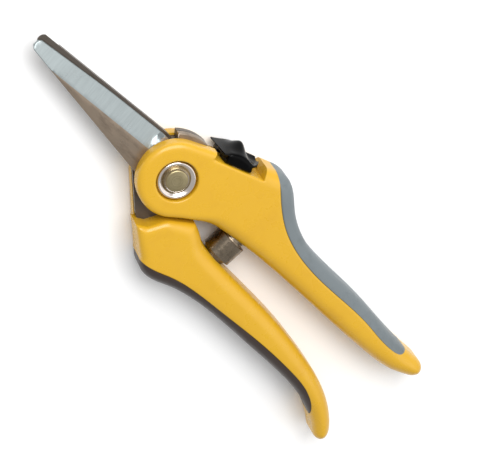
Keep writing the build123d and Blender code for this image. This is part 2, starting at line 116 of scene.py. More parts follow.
def arc(radius: float, start: float, end: float, centre: Pair = (0.0, 0.0)) -> np.ndarray:
    """Points on a circle: centre plus radius times the cosine and sine of even angles.

    Args:
        radius: the circle's radius.
        start: the first angle in degrees.
        end: the last angle in degrees.
        centre: the circle's centre.

    Returns:
        The points, about half a millimetre apart.
    """
    step = 0.45
    count = max(int(abs(end - start) / 360 * 2 * math.pi * radius / step), 6)
    angle = np.radians(np.linspace(start, end, count + 1))
    return np.stack([centre[0] + radius * np.cos(angle), centre[1] + radius * np.sin(angle)], axis=1)


def dense(points: Sequence[Pair], step: float = 0.6) -> np.ndarray:
    """Straight runs through points.

    Args:
        points: the corners.
        step: the longest distance between two samples.

    Returns:
        The sampled line.
    """
    corners = np.asarray(points, float)
    runs = [
        np.linspace(a, b, max(int(np.linalg.norm(b - a) / step), 1) + 1)[:-1]
        for a, b in zip(corners[:-1], corners[1:])
    ]
    return np.vstack([*runs, corners[-1:]])


def closed(points: np.ndarray) -> np.ndarray:
    """Closes a curve into a loop.

    Args:
        points: the curve, open or already closed.

    Returns:
        The curve with its first point repeated at its end, and doubled points left out.
    """
    ring = np.vstack([points, points[:1]])
    apart = np.linalg.norm(np.diff(ring, axis=0), axis=1) > 1e-4
    return np.vstack([ring[:-1][apart], ring[:1]])


def circle(radius: float, centre: Pair = (0.0, 0.0)) -> np.ndarray:
    """A closed circle."""
    return closed(arc(radius, 0, 360, centre))


def distance(points: np.ndarray, curve: np.ndarray) -> np.ndarray:
    """The distance from each point to the nearest place on a curve of straight segments.

    On each segment that place is the start plus the run times the offset's share along it, cut
    to the segment's ends.

    Args:
        points: the plan points.
        curve: the curve's points.

    Returns:
        The distances.
    """
    start, run = curve[:-1], np.diff(curve, axis=0)
    squared = np.maximum((run**2).sum(axis=1), 1e-12)
    nearest = []
    # a few hundred points at a time, so that the table of offsets stays small
    for block in np.array_split(points, max(len(points) // 600, 1)):
        offset = block[:, None, :] - start[None]
        share = np.clip((offset * run[None]).sum(axis=2) / squared, 0, 1)
        nearest.append(np.sqrt(((offset - share[..., None] * run[None]) ** 2).sum(axis=2)).min(axis=1))
    return np.concatenate(nearest)


def within(points: np.ndarray, loop: np.ndarray) -> np.ndarray:
    """Tells which points lie inside a loop, by counting its crossings of a ray along +X.

    Args:
        points: the plan points.
        loop: the closed loop.

    Returns:
        True for each point inside.
    """
    a, b = loop[:-1], loop[1:]
    x, y = points[:, 0:1], points[:, 1:2]
    crosses = (a[None, :, 1] > y) != (b[None, :, 1] > y)
    rise = np.where(np.abs(b[:, 1] - a[:, 1]) < 1e-12, 1e-12, b[:, 1] - a[:, 1])
    where = a[None, :, 0] + (y - a[None, :, 1]) * (b[:, 0] - a[:, 0])[None] / rise[None]
    return (crosses & (x < where)).sum(axis=1) % 2 == 1


def faded(share: np.ndarray) -> np.ndarray:
    """Eases a share: three times its square less twice its cube."""
    return share * share * (3 - 2 * share)


@dataclass(frozen=True)
class Rounding:
    """How a surface falls away towards an edge: a quarter of an ellipse.

    The head of the tool has tighter edges than its tail, so both sizes are given, and the
    rounding fades from one to the other between two places along X.
    """

    width: float
    drop: float
    head_width: float | None = None
    head_drop: float | None = None
    fade: Pair = (-14.0, -34.0)

    def size(self, points: np.ndarray) -> tuple[np.ndarray, np.ndarray]:
        """The rounding's size, eased from the head's to the tail's.

        Args:
            points: the plan points.

        Returns:
            The width and the drop at each point.
        """
        if self.head_width is None or self.head_drop is None:
            return np.full(len(points), self.width), np.full(len(points), self.drop)
        share = faded(np.clip((self.fade[0] - points[:, 0]) / (self.fade[0] - self.fade[1]), 0, 1))
        return (
            self.head_width + (self.width - self.head_width) * share,
            self.head_drop + (self.drop - self.head_drop) * share,
        )

    def fall(self, points: np.ndarray, away: np.ndarray) -> np.ndarray:
        """The fall: drop times one minus the root of 1 - (1 - distance / width) squared.

        Args:
            points: the plan points.
            away: their distances from the edge.

        Returns:
            The fall at each point.
        """
        width, drop = self.size(points)
        near = 1 - np.clip(away / width, 0, 1)
        return drop * (1 - np.sqrt(np.clip(1 - near**2, 0, 1)))


@dataclass(frozen=True)
class Edge:
    """A plan curve that the mesh follows, and the rounding beside it."""

    curve: np.ndarray
    rounding: Rounding | None = None


@dataclass
class Shell:
    """Points and faces of one or more closed shells."""

    points: np.ndarray
    faces: list[tuple[int, ...]]


    @staticmethod
    def joined(shells: Sequence["Shell"]) -> "Shell":
        """Puts shells side by side in one list of points.

        Args:
            shells: the shells.

        Returns:
            One shell that holds them all.
        """
        starts = np.cumsum([0] + [len(shell.points) for shell in shells])
        pairs = zip(shells, starts)
        faces = [tuple(int(start + i) for i in face) for shell, start in pairs for face in shell.faces]
        return Shell(np.vstack([shell.points for shell in shells]), faces)


# where an edge's ellipse has turned by these angles, a ring of points runs beside the edge
RING_ANGLES = np.radians([12.0, 24.0, 36.0, 48.0, 60.0, 74.0, 90.0])
# rings lie no further than this from their edge
RING_REACH = 2.0
# the height of an equal-sided triangle over its side
ROW_HEIGHT = 0.866
# twice the area under which a triangle is left out
LEAST_AREA = 1e-7
# a ring point keeps this share of its offset from every run of its edge
RING_CLEARANCE = 0.93
# rings go on a little past their reach, to join the points beyond
RING_MARGIN = 0.6
# loose points keep this far from every curve
POINT_CLEARANCE = 0.03
# the least thickness of a slab
LEAST_THICKNESS = 0.02


def rings(edge: Edge, region: PlanRule) -> list[np.ndarray]:
    """Rings of points on both sides of a rounded edge, one for each ring angle.

    A ring is the curve plus its normal times the width times 1 - cos(angle).

    Args:
        edge: the edge.
        region: tells which plan points belong to the shell.

    Returns:
        The rings' points, without those that come too near another run of the edge.
    """
    if edge.rounding is None:
        return []
    along = np.gradient(edge.curve, axis=0)
    normal = np.stack([-along[:, 1], along[:, 0]], axis=1)
    normal /= np.maximum(np.linalg.norm(normal, axis=1), 1e-9)[:, None]
    width = np.minimum(edge.rounding.size(edge.curve)[0], RING_REACH / (1 - math.cos(RING_ANGLES[3])))
    found = []
    for angle in RING_ANGLES:
        offset = width * (1 - math.cos(angle))
        for side in (1, -1):
            ring = edge.curve + side * normal * offset[:, None]
            clear = distance(ring, edge.curve) > RING_CLEARANCE * offset
            found.append(ring[clear & (offset < RING_REACH + RING_MARGIN) & region(ring)])
    return found


def lattice(edges: Sequence[Edge], region: PlanRule, spacing: float) -> np.ndarray:
    """A staggered lattice over a region, clear of its edges and their rings.

    Args:
        edges: the region's edges.
        region: tells which plan points belong to the shell.
        spacing: the lattice's spacing.

    Returns:
        The lattice's points.
    """
    base = np.vstack([edge.curve for edge in edges])
    lo, hi = base.min(axis=0), base.max(axis=0)
    column, row = np.meshgrid(np.arange(lo[0], hi[0], spacing), np.arange(lo[1], hi[1], spacing * ROW_HEIGHT))
    column = column + (np.arange(column.shape[0]) % 2)[:, None] * spacing / 2
    points = np.stack([column.ravel(), row.ravel()], axis=1)
    points = points[region(points)]
    for edge in edges:
        margin = np.full(len(points), spacing * 0.6)
        if edge.rounding is not None:
            margin = np.minimum(edge.rounding.size(points)[0], RING_REACH) + spacing * 0.4
        points = points[distance(points, edge.curve) > margin]
    return points


def triangles(edges: Sequence[Edge], region: PlanRule, spacing: float) -> tuple[np.ndarray, np.ndarray]:
    """A triangulation of a plan region that follows every edge.

    Args:
        edges: the curves that the triangles follow.
        region: tells which plan points belong to the region.
        spacing: spacing of the points between the edges.

    Returns:
        The plan points and the triangles, counter-clockwise.
    """
    starts = np.cumsum([0] + [len(edge.curve) for edge in edges])
    links = [(i, i + 1) for a, b in zip(starts[:-1], starts[1:]) for i in range(a, b - 1)]
    beside = [ring for edge in edges for ring in rings(edge, region)]
    loose = np.vstack([*beside, lattice(edges, region, spacing)])
    for edge in edges:
        loose = loose[distance(loose, edge.curve) > POINT_CLEARANCE]
    every = np.vstack([*(edge.curve for edge in edges), loose])
    points, _, faces, _, _, _ = delaunay_2d_cdt([Vector(p) for p in every], links, [], 0, 1e-4, False)
    flat = np.array([tuple(p) for p in points])
    faces = np.array(faces, int)
    faces = faces[region(flat[faces].mean(axis=1))]
    a, b, c = flat[faces[:, 0]], flat[faces[:, 1]], flat[faces[:, 2]]
    area = (b[:, 0] - a[:, 0]) * (c[:, 1] - a[:, 1]) - (b[:, 1] - a[:, 1]) * (c[:, 0] - a[:, 0])
    faces = faces[np.abs(area) > LEAST_AREA]
    area = area[np.abs(area) > LEAST_AREA]
    faces[area < 0] = faces[area < 0][:, ::-1]
    used, renumbered = np.unique(faces, return_inverse=True)
    return flat[used], renumbered.reshape(-1, 3)


def slab(
    edges: Sequence[Edge],
    region: PlanRule,
    bottom: float,
    top: float,
    soft_bottom: bool = False,
    soft_top: bool = False,
    spacing: float = 1.0,
    carve: PlanRule | None = None,
    rows: int = 1,
) -> Shell:

    """A closed shell over a plan region, whose faces fall towards the rounded edges.

    The top is the top level less the greatest fall of any edge there, the bottom is its mirror,
    and straight walls join the two along the region's border.

    Args:
        edges: the curves that the mesh follows.
        region: tells which plan points belong to the shell.
        bottom: level of the under side.
        top: level of the upper side.
        soft_bottom: whether the under side falls towards the edges.
        soft_top: whether the upper side falls towards the edges.
        spacing: spacing of the inner points.
        carve: a further fall of the upper side at plan points.
        rows: number of rows of faces in the walls.

    Returns:
        The shell.
    """
    plan, faces = triangles(edges, region, spacing)
    fall = np.zeros(len(plan))
    for edge in edges:
        if edge.rounding is not None:
            fall = np.maximum(fall, edge.rounding.fall(plan, distance(plan, edge.curve)))
    upper = np.full(len(plan), top) - (fall if soft_top else 0)
    lower = np.full(len(plan), bottom) + (fall if soft_bottom else 0)
    if carve is not None:
        upper = upper - carve(plan)
    upper = np.maximum(upper, lower + LEAST_THICKNESS)
    count = len(plan)
    points = np.vstack([np.column_stack([plan, upper]), np.column_stack([plan, lower])])
    sides = np.vstack([faces[:, [0, 1]], faces[:, [1, 2]], faces[:, [2, 0]]])
    keys = sides[:, 0] * count + sides[:, 1]
    border = sides[~np.isin(sides[:, 1] * count + sides[:, 0], keys)]
    ring = np.unique(border)
    levels = [
        np.column_stack([plan[ring], upper[ring] + (lower[ring] - upper[ring]) * row / rows])
        for row in range(1, rows)
    ]
    points = np.vstack([points, *levels])
    place = np.zeros(count, int)
    place[ring] = np.arange(len(ring))


    def numbers(row: int, plan_numbers: np.ndarray) -> np.ndarray:
        """Finds border points in one row of the walls.

        Args:
            row: the row, counted from the top.
            plan_numbers: the border points' numbers in the plan.

        Returns:
            Their numbers in the shell.
        """
        if row == 0:
            return plan_numbers
        if row == rows:
            return plan_numbers + count
        return 2 * count + (row - 1) * len(ring) + place[plan_numbers]


    start, stop = border[:, 0], border[:, 1]
    every = [tuple(f) for f in faces.tolist()]
    every += [tuple(f) for f in (faces[:, ::-1] + count).tolist()]
    for row in range(rows):
        walls = np.column_stack(
            [numbers(row, start), numbers(row + 1, start), numbers(row + 1, stop), numbers(row, stop)]
        )
        every += [tuple(f) for f in walls.tolist()]
    return Shell(points, every)


def grid_faces(rows: int, columns: int, wraps: bool) -> list[tuple[int, ...]]:
    """The four-sided faces of a grid whose columns go all the way round.

    Args:
        rows: the grid's number of rows.
        columns: its number of columns.
        wraps: whether the last row joins the first.

    Returns:
        The faces.
    """
    i, j = np.meshgrid(np.arange(rows if wraps else rows - 1), np.arange(columns), indexing="ij")
    i, j = i.ravel(), j.ravel()
    below, beside = (i + 1) % rows, (j + 1) % columns
    quads = [i * columns + j, below * columns + j, below * columns + beside, i * columns + beside]
    return [tuple(quad) for quad in np.column_stack(quads).tolist()]


def revolved(profile: np.ndarray, steps: int = 128) -> Shell:
    """A closed shell of revolution about the pivot axis.

    A point of the grid is (r cos a, r sin a, z), with r and z from the profile and a the angle.

    Args:
        profile: radius and level of each profile point; either a closed loop whose last point
            isn't repeated, or a line from the axis to the axis.
        steps: number of grid columns round the axis.

    Returns:
        The shell.
    """
    poles = profile[0, 0] < 1e-6
    rim = profile[1:-1] if poles else profile
    angle = np.linspace(0, 2 * math.pi, steps, endpoint=False)
    level = np.repeat(rim[:, 1:2], steps, axis=1)
    x, y = rim[:, 0:1] * np.cos(angle), rim[:, 0:1] * np.sin(angle)
    points = np.stack([x, y, level], axis=2).reshape(-1, 3)
    faces = grid_faces(len(rim), steps, not poles)
    if poles:
        first = len(rim) * steps
        base = first - steps
        points = np.vstack([points, [[0, 0, profile[0, 1]], [0, 0, profile[-1, 1]]]])
        faces += [(first, k, (k + 1) % steps) for k in range(steps)]
        faces += [(first + 1, base + (k + 1) % steps, base + k) for k in range(steps)]
    return Shell(points, faces)


def swept(
    path: np.ndarray, across: np.ndarray, along: np.ndarray, section: np.ndarray, length: np.ndarray
) -> Shell:
    """A closed section carried along a path, with its ends closed by one face each.

    A point of the grid is path + u * across + v * length * along, with (u, v) from the section.

    Args:
        path: the path's points.
        across: unit vector of the section's first direction at each path point.
        along: unit vector of the section's second direction at each path point.
        section: the section's points, counter-clockwise.
        length: the section's stretch in its second direction at each path point.

    Returns:
        The shell.
    """

    rows, columns = len(path), len(section)
    grid = (
        path[:, None, :]
        + section[None, :, 0:1] * across[:, None, :]
        + section[None, :, 1:2] * length[:, None, None] * along[:, None, :]
    ).reshape(-1, 3)
    faces = grid_faces(rows, columns, False)
    faces.append(tuple(range(columns)))
    faces.append(tuple(reversed(range((rows - 1) * columns, rows * columns))))
    return Shell(grid, faces)


# ---------------------------------------------------------------- finishes


def linear(hex_colour: str) -> tuple[float, float, float, float]:
    """Turns an sRGB colour to linear.

    Args:
        hex_colour: the colour as #RRGGBB.

    Returns:
        Red, green, blue and alpha.
    """
    parts = [int(hex_colour[i : i + 2], 16) / 255 for i in (1, 3, 5)]
    red, green, blue = (p / 12.92 if p <= 0.04045 else ((p + 0.055) / 1.055) ** 2.4 for p in parts)
    return (red, green, blue, 1.0)


def add_node(
    tree: bpy.types.NodeTree, kind: str, inputs: dict | None = None, **settings: object
) -> bpy.types.Node:
    """Adds a node with its settings, and fills or links its inputs.

    Args:
        tree: the material's node tree.
        kind: the node's type name, without the shader nodes' common prefix.
        inputs: for each input, by name or number, a value or the output socket that feeds it.
        settings: properties of the node.

    Returns:
        The node.
    """
    node = tree.nodes.new("ShaderNode" + kind)
    for name, value in settings.items():
        setattr(node, name, value)
    for key, value in (inputs or {}).items():
        if isinstance(value, bpy.types.NodeSocket):
            tree.links.new(value, node.inputs[key])
        else:
            node.inputs[key].default_value = value
    return node


# adds a node to one material's tree
Adder = Callable[..., bpy.types.Node]
# the colour sockets of a Mix node, whose names its other sockets share
MIX_FIRST, MIX_SECOND, MIX_RESULT = 6, 7, 2


@dataclass(frozen=True)
class Patterns:
    """The sockets that a finish paints with: its patches, its wear and the normal of its relief."""

    patches: bpy.types.NodeSocket
    wear: bpy.types.NodeSocket
    normal: bpy.types.NodeSocket


@dataclass(frozen=True)
class Finish:
    """A moulded or rolled surface: patches of two colours, uneven gloss, fine grain and scratches."""

    name: str
    colour: str
    second: str
    roughness: float
    rough_spread: float = 0.08
    metallic: float = 0.0
    ior: float = 1.5
    specular: float = 0.5
    patch_mm: float = 14.0
    grain_mm: float = 0.6
    grain_depth_mm: float = 0.01
    stretch: tuple[float, float, float] = (1.0, 1.0, 1.0)
    scratch_mm: float = 0.8
    scratch_depth_mm: float = 0.0
    grime: str = "#000000"
    grime_amount: float = 0.0

    @property
    def gloss(self) -> Pair:
        """The least and the greatest roughness."""
        return (self.roughness - self.rough_spread, self.roughness + self.rough_spread)

    def patterns(self, add: Adder, where: bpy.types.NodeSocket) -> Patterns:
        """Adds soft patches, finer wear, and grain crossed by slanting scratches.

        Args:
            add: adds a node to the material.
            where: the piece's own coordinates, stretched.

        Returns:
            The sockets.
        """
        patches = add(
            "TexNoise",
            {"Vector": where, "Scale": 1 / (self.patch_mm * MM), "Detail": 5.0, "Roughness": 0.6},
        )
        wear = add("TexNoise", {"Vector": where, "Scale": 1 / (self.patch_mm * 0.25 * MM), "Detail": 6.0})
        grain = add("TexNoise", {"Vector": where, "Scale": 1 / (self.grain_mm * MM), "Detail": 3.0})
        bump = add(
            "Bump", {"Height": grain.outputs["Fac"], "Strength": 0.6, "Distance": self.grain_depth_mm * MM}
        )
        if self.scratch_depth_mm > 0:
            straight = add("TexCoord").outputs["Object"]
            lines = add(
                "Mapping", {"Vector": straight, "Scale": (0.12, 2.2, 1.0), "Rotation": (0, 0, 0.5)}
            ).outputs[0]
            scratches = add(
                "TexNoise", {"Vector": lines, "Scale": 1 / (self.scratch_mm * MM), "Detail": 2.0}
            )
            depth = self.scratch_depth_mm * MM
            height, under = scratches.outputs["Fac"], bump.outputs[0]
            bump = add("Bump", {"Height": height, "Strength": 0.5, "Distance": depth, "Normal": under})
        return Patterns(patches.outputs["Fac"], wear.outputs["Fac"], bump.outputs[0])

    def build(self) -> bpy.types.Material:
        """Makes the material: the patches mix the colours, the wear sets the gloss, grime lies on top.

        Returns:
            The material.
        """
        material = bpy.data.materials.new(self.name)
        material.use_nodes = True
        material.node_tree.nodes.clear()
        add = partial(add_node, material.node_tree)
        plain = add("TexCoord").outputs["Object"]
        where = add("Mapping", {"Vector": plain, "Scale": self.stretch}).outputs[0]
        patterns = self.patterns(add, where)
        layers = [(patterns.patches, linear(self.colour), linear(self.second))]
        if self.grime_amount > 0:
            marks = add(
                "TexNoise",
                {"Vector": where, "Scale": 1 / (self.patch_mm * 0.35 * MM), "Detail": 8.0, "Roughness": 0.7},
            )
            spread = add(
                "MapRange",
                {
                    "Value": marks.outputs["Fac"],
                    "From Min": 0.52,
                    "From Max": 0.72,
                    "To Max": self.grime_amount,
                },
            )
            layers.append((spread.outputs[0], None, linear(self.grime)))
        paint = None
        for factor, first, second in layers:
            inputs = {"Factor": factor, MIX_FIRST: first or paint, MIX_SECOND: second}
            paint = add("Mix", inputs, data_type="RGBA").outputs[MIX_RESULT]
        low, high = self.gloss
        gloss = add(
            "MapRange",
            {"Value": patterns.wear, "From Min": 0.3, "From Max": 0.7, "To Min": low, "To Max": high},
        )
        shader = add(
            "BsdfPrincipled",
            {
                "Base Color": paint,
                "Roughness": gloss.outputs[0],
                "Normal": patterns.normal,
                "Metallic": self.metallic,
                "IOR": self.ior,
                "Specular IOR Level": self.specular,
            },
        )
        add("OutputMaterial", {"Surface": shader.outputs[0]})
        return material


@dataclass(frozen=True)
class TurnedFinish(Finish):
    """Metal finished in a lathe or polished while it turned: fine rings about the pivot axis."""

    metallic: float = 1.0
    patch_mm: float = 3.0
    ring_mm: float = 0.28
    ring_depth_mm: float = 0.006

    @property
    def gloss(self) -> Pair:
        """The least and the greatest roughness, duller in the rings' grooves."""
        return (self.roughness * 0.7, self.roughness * 1.4)

    def patterns(self, add: Adder, where: bpy.types.NodeSocket) -> Patterns:
        """Adds noise on the distance from the axis, which gives rings in gloss and relief.

        Args:
            add: adds a node to the material.
            where: the piece's own coordinates.

        Returns:
            The sockets.
        """
        flat = add("VectorMath", {0: where, 1: (1.0, 1.0, 0.0)}, operation="MULTIPLY")
        radius = add("VectorMath", {0: flat.outputs[0]}, operation="LENGTH")
        ring = add(
            "TexNoise",
            {"W": radius.outputs["Value"], "Scale": 1 / (self.ring_mm * MM), "Detail": 3.0},
            noise_dimensions="1D",
        ).outputs["Fac"]
        patches = add("TexNoise", {"Vector": where, "Scale": 1 / (self.patch_mm * MM), "Detail": 6.0})
        bump = add("Bump", {"Height": ring, "Strength": 0.5, "Distance": self.ring_depth_mm * MM})
        return Patterns(patches.outputs["Fac"], ring, bump.outputs[0])


@dataclass(frozen=True)
class GroundFinish(Finish):
    """Steel ground across a blade: fine bright and dark lines square to the blade's length."""

    metallic: float = 1.0
    haze_mm: float = 9.0
    line_mm: float = 0.4
    line_depth_mm: float = 0.004

    def patterns(self, add: Adder, where: bpy.types.NodeSocket) -> Patterns:
        """Adds noise stretched across the blade, which gives the wheel's lines.

        Args:
            add: adds a node to the material.
            where: the piece's own coordinates.

        Returns:
            The sockets.
        """
        lines = add(
            "Mapping", {"Vector": where, "Scale": (1.0, 0.05, 0.05), "Rotation": (0, 0, 0.12)}
        ).outputs[0]
        grind = add(
            "TexNoise", {"Vector": lines, "Scale": 1 / (self.line_mm * MM), "Detail": 6.0, "Roughness": 0.7}
        ).outputs["Fac"]
        haze = add("TexNoise", {"Vector": where, "Scale": 1 / (self.haze_mm * MM), "Detail": 4.0})
        share = add("MapRange", {"Value": grind, "From Min": 0.35, "From Max": 0.65})
        bump = add("Bump", {"Height": grind, "Strength": 0.6, "Distance": self.line_depth_mm * MM})
        return Patterns(share.outputs[0], haze.outputs["Fac"], bump.outputs[0])


# glass-filled nylon, moulded: warm, satin, faintly uneven, with light handling scratches
YELLOW_NYLON = Finish(
    "moulded_nylon_yellow", "#D4A622", "#CB9B1B", 0.30, ior=1.53, patch_mm=22.0, grain_mm=0.5,
    grain_depth_mm=0.012, scratch_depth_mm=0.006, grime="#A86A12", grime_amount=0.12,
)
# soft-touch rubber, grey: dull, finely pebbled, with a faint greasy sheen where hands rub it
GREY_RUBBER = Finish(
    "moulded_rubber_grey", "#5F676A", "#737B7E", 0.50, patch_mm=18.0, grain_mm=0.35,
    grain_depth_mm=0.03, grime="#3C4244", grime_amount=0.3,
)
# the same grey rubber, painted brown-black: painted shade, for the lower grip that faces away from the light
GREY_RUBBER_PAINTED_SHADE = Finish(
    "moulded_rubber_grey_painted_shade", "#2A201B", "#3A2C24", 0.42, patch_mm=18.0, grain_mm=0.35,
    grain_depth_mm=0.03, grime="#4A3B30", grime_amount=0.3,
)
# acetal, moulded in a polished mould: near black with a hard, slightly smeared gloss
BLACK_ACETAL = Finish(
    "moulded_acetal_black", "#030303", "#060607", 0.2, rough_spread=0.07, ior=1.48, specular=0.08,
    patch_mm=6.0, grain_mm=0.8, grain_depth_mm=0.004, scratch_depth_mm=0.003,
)
# hardened carbon steel, rolled and lacquered: brown-grey, streaked along the blade, sap-stained
BLADE_FLAT = Finish(
    "rolled_carbon_steel", "#A09181", "#837464", 0.36, rough_spread=0.1, metallic=0.85,
    patch_mm=9.0, grain_mm=0.55, grain_depth_mm=0.03, stretch=(0.35, 1.6, 1.0),
    scratch_depth_mm=0.008, grime="#3F342A", grime_amount=0.45,
)
# the same steel's rear blade, unpolished, in darker colours: painted shade, where it lies in shadow under the
# front parts
BLADE_STEEL_PAINTED_SHADE = Finish(
    "carbon_steel_painted_shade", "#6E6760", "#564D45", 0.42, metallic=0.8, patch_mm=12.0, grain_mm=0.4,
    grain_depth_mm=0.012, stretch=(0.4, 1.5, 1.0), grime="#241C16", grime_amount=0.5,
)
# the blade's bevel, ground on a wheel: bright with fine cross lines
BLADE_BEVEL = GroundFinish("ground_carbon_steel", "#9AA2A3", "#8F9697", 0.34)
# spring strip, oil-tempered: brown-grey, shiny, streaked
SPRING_STRIP = Finish(
    "oil_tempered_spring_steel", "#8F8272", "#6C6152", 0.27, rough_spread=0.1, metallic=1.0,
    patch_mm=4.0, grain_mm=0.5, grain_depth_mm=0.01, grime="#2E241C", grime_amount=0.4,
)
# pressed steel, chromed and polished: mirror-bright with hairline rings
CUP_CHROME = TurnedFinish("polished_chrome", "#E6DDD6", "#CDC2BA", 0.17, ring_depth_mm=0.002)
# bolt head, turned and passivated in yellow zinc, rubbed olive
BOLT_ZINC = TurnedFinish("passivated_zinc_steel", "#B3A684", "#8F8361", 0.34, ring_mm=0.35)
# nut, washers, studs and tongue, zinc plated: grey with small dull spots
PLATED_STEEL = Finish(
    "zinc_plated_steel", "#A7A59E", "#8C897F", 0.33, metallic=1.0, patch_mm=3.0, grain_mm=0.3,
    grain_depth_mm=0.008, grime="#5A5346", grime_amount=0.3,
)
# bush and centre washer, turned brass: warm yellow with turning marks
TURNED_BRASS = TurnedFinish("turned_brass", "#C6A253", "#A8843C", 0.28)


# ---------------------------------------------------------------- pieces


def make_piece(
    name: str,
    shell: Shell,
    materials: Sequence[bpy.types.Material],
    chosen: np.ndarray | None = None,
) -> bpy.types.Object:
    """Puts a shell into the scene as one smooth-shaded object with crisp corners.

    Args:
        name: the piece's name.
        shell: its points in millimetres and its faces.
        materials: its materials.
        chosen: the number of the material of each face, if it has more than one.

    Returns:
        The object.
    """
    mesh = bpy.data.meshes.new(name)
    mesh.from_pydata((shell.points * MM).tolist(), [], shell.faces)
    for material in materials:
        mesh.materials.append(material)
    if chosen is not None:
        mesh.polygons.foreach_set("material_index", chosen.astype(np.int32))
    mesh.shade_smooth()
    mesh.set_sharp_from_angle(angle=SHARP_ANGLE)
    mesh.validate()
    mesh.update()
    piece = bpy.data.objects.new(name, mesh)
    bpy.context.scene.collection.objects.link(piece)
    log.info("%s: %d points, %d faces", name, len(shell.points), len(shell.faces))
    return piece


def settle(piece: bpy.types.Object, body: Body, slot: str, *nodes: str) -> None:
    """Puts a piece on its body, in the place of CAD nodes.

    Args:
        piece: the piece.
        body: the body that carries it.
        slot: the name of its material slot; not used.
        nodes: the CAD nodes whose place it takes.
    """
    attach(piece, body.value)
    if nodes:
        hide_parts(*nodes)


@dataclass(frozen=True)
class Layers:
    """Levels of the tool's layers and the sizes that the pieces share."""

    thickness: float = 16.0
    front_cheek: float = 5.0
    blade: float = 2.5
    gap: float = 0.4
    well_depth: float = 2.6
    well_radius: float = 7.2
    head_radius: float = 13.5
    rear_head_radius: float = 13.4
    heel_radius: float = 15.2
    clearance: float = 0.5
    heel_slack: Pair = (0.25, 0.2)

    @property
    def upper_blade_top(self) -> float:
        """Level of the front blade's face."""
        return self.thickness - self.front_cheek

    @property
    def upper_blade_bottom(self) -> float:
        """Level of the front blade's back."""
        return self.upper_blade_top - self.blade

    @property
    def lower_blade_top(self) -> float:
        """Level of the rear blade's face."""
        return self.upper_blade_bottom - self.gap

    @property
    def lower_blade_bottom(self) -> float:
        """Level of the rear blade's back, which is the top of the rear cheek."""
        return self.lower_blade_top - self.blade


    @property
    def heel_room(self) -> Pair:
        """The levels between which the rear blade's heel passes through other pieces."""
        return (self.lower_blade_bottom - self.heel_slack[0], self.lower_blade_top + self.heel_slack[1])


LAYERS = Layers()


@dataclass(frozen=True)
class LockAxes:
    """The lock's own plan axes: s rearwards along the recess, h outwards from the pivot."""

    angle: float = 20.4
    start: float = 8.1
    end: float = 27.5
    floor: float = 11.75

    @property
    def rearward(self) -> np.ndarray:
        """Unit vector of s."""
        return np.array([-math.cos(math.radians(self.angle)), -math.sin(math.radians(self.angle))])

    @property
    def outward(self) -> np.ndarray:
        """Unit vector of h."""
        return np.array([math.sin(math.radians(self.angle)), -math.cos(math.radians(self.angle))])

    def point(self, s: float, h: float) -> Pair:
        """The plan point at s and h."""
        x, y = s * self.rearward + h * self.outward
        return (float(x), float(y))

    def loop(self, points: Sequence[Pair]) -> np.ndarray:
        """A closed plan loop of straight runs through points given as (s, h)."""
        corners = [self.point(s, h) for s, h in points]
        return dense([*corners, corners[0]])


LOCK_AXES = LockAxes()


@dataclass
class Handle:
    """What both handles share: a tail, and a soft grip that fills a band of their outline."""

    reach: float
    palm_border: Sequence[Pair]
    tail_border: Sequence[Pair]
    tail_corner: Pair
    palm_corner: Pair
    palm: float = 46.5
    seam: Rounding = Rounding(0.55, 0.45)
    grip_edge: Rounding = Rounding(5.2, 4.4)

    def tail(self, points: Sequence[Pair]) -> list[Pair]:
        """Plan points given as their share of the tail's length and their y."""
        return [(-self.palm - share * (self.reach - self.palm), y) for share, y in points]

    def band(self) -> tuple[np.ndarray, np.ndarray]:
        """Draws the grip's inner border and closes it round the handle's back.

        Returns:
            The border, and the closed loop that holds the grip.
        """
        border = spline([*self.palm_border, *self.tail(self.tail_border)])
        return border, closed(np.vstack([border, self.tail([self.tail_corner]), self.palm_corner]))

    def grip(self, name: str, outline: np.ndarray, rubber: bpy.types.Material) -> bpy.types.Object:
        """Builds the grip: the part of the outline inside the band, rounded on both faces.

        Args:
            name: the grip's name.
            outline: the handle's closed outline.
            rubber: the grip's material.

        Returns:
            The grip.
        """
        border, band = self.band()
        shell = slab(
            [Edge(outline, self.grip_edge), Edge(border, self.seam)],
            lambda p: within(p, outline) & within(p, band),
            0.0,
            LAYERS.thickness,
            soft_bottom=True,
            soft_top=True,
            spacing=0.9,
        )
        return make_piece(name, shell, [rubber])


